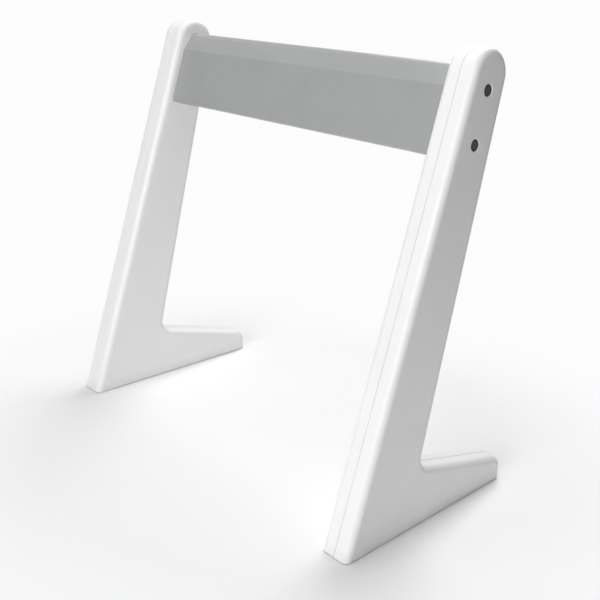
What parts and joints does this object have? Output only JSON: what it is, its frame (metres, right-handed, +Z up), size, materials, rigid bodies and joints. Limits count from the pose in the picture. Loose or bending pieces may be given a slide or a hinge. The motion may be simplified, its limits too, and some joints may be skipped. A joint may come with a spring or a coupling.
{
  "type": "linear pipette stand",
  "caption": "Bench-top stand: leaning hollow side frames with long feet, joined by a hollow cross rail whose round ridge carries hanging hand pipettes.",
  "frame": {"origin": "on the bench, under the middle of the stand's bounding box", "axes": "+X along the rail to the right frame, +Y from the columns' front edges to the toes of the feet, +Z up"},
  "size_m": [0.3486, 0.1754, 0.3389],
  "materials": {
    "white_shell": "satin white moulding with a fine even grain",
    "grey_rail": "satin cool grey coat",
    "plug_moulding": "plain moulded",
    "insert_brass": "turned",
    "fastener_steel": "zinc plated",
    "dark_cap": "satin dark grey",
    "foot_rubber": "matt"
  },
  "bodies": {
    "root": {"left_leg_outer_shell": "white_shell", "left_leg_inner_shell": "white_shell", "right_leg_outer_shell": "white_shell", "right_leg_inner_shell": "white_shell", "cross_rail": "grey_rail", "left_rail_end_plug": "plug_moulding", "right_rail_end_plug": "plug_moulding", "left_threaded_inserts": "insert_brass", "right_threaded_inserts": "insert_brass", "left_rail_screws": "fastener_steel", "right_rail_screws": "fastener_steel", "left_rail_washers": "fastener_steel", "right_rail_washers": "fastener_steel", "left_plug_screw": "fastener_steel", "right_plug_screw": "fastener_steel", "left_screw_caps": "dark_cap", "right_screw_caps": "dark_cap", "left_front_foot_pad": "foot_rubber", "left_rear_foot_pad": "foot_rubber", "right_front_foot_pad": "foot_rubber", "right_rear_foot_pad": "foot_rubber"}
  },
  "joints": []
}
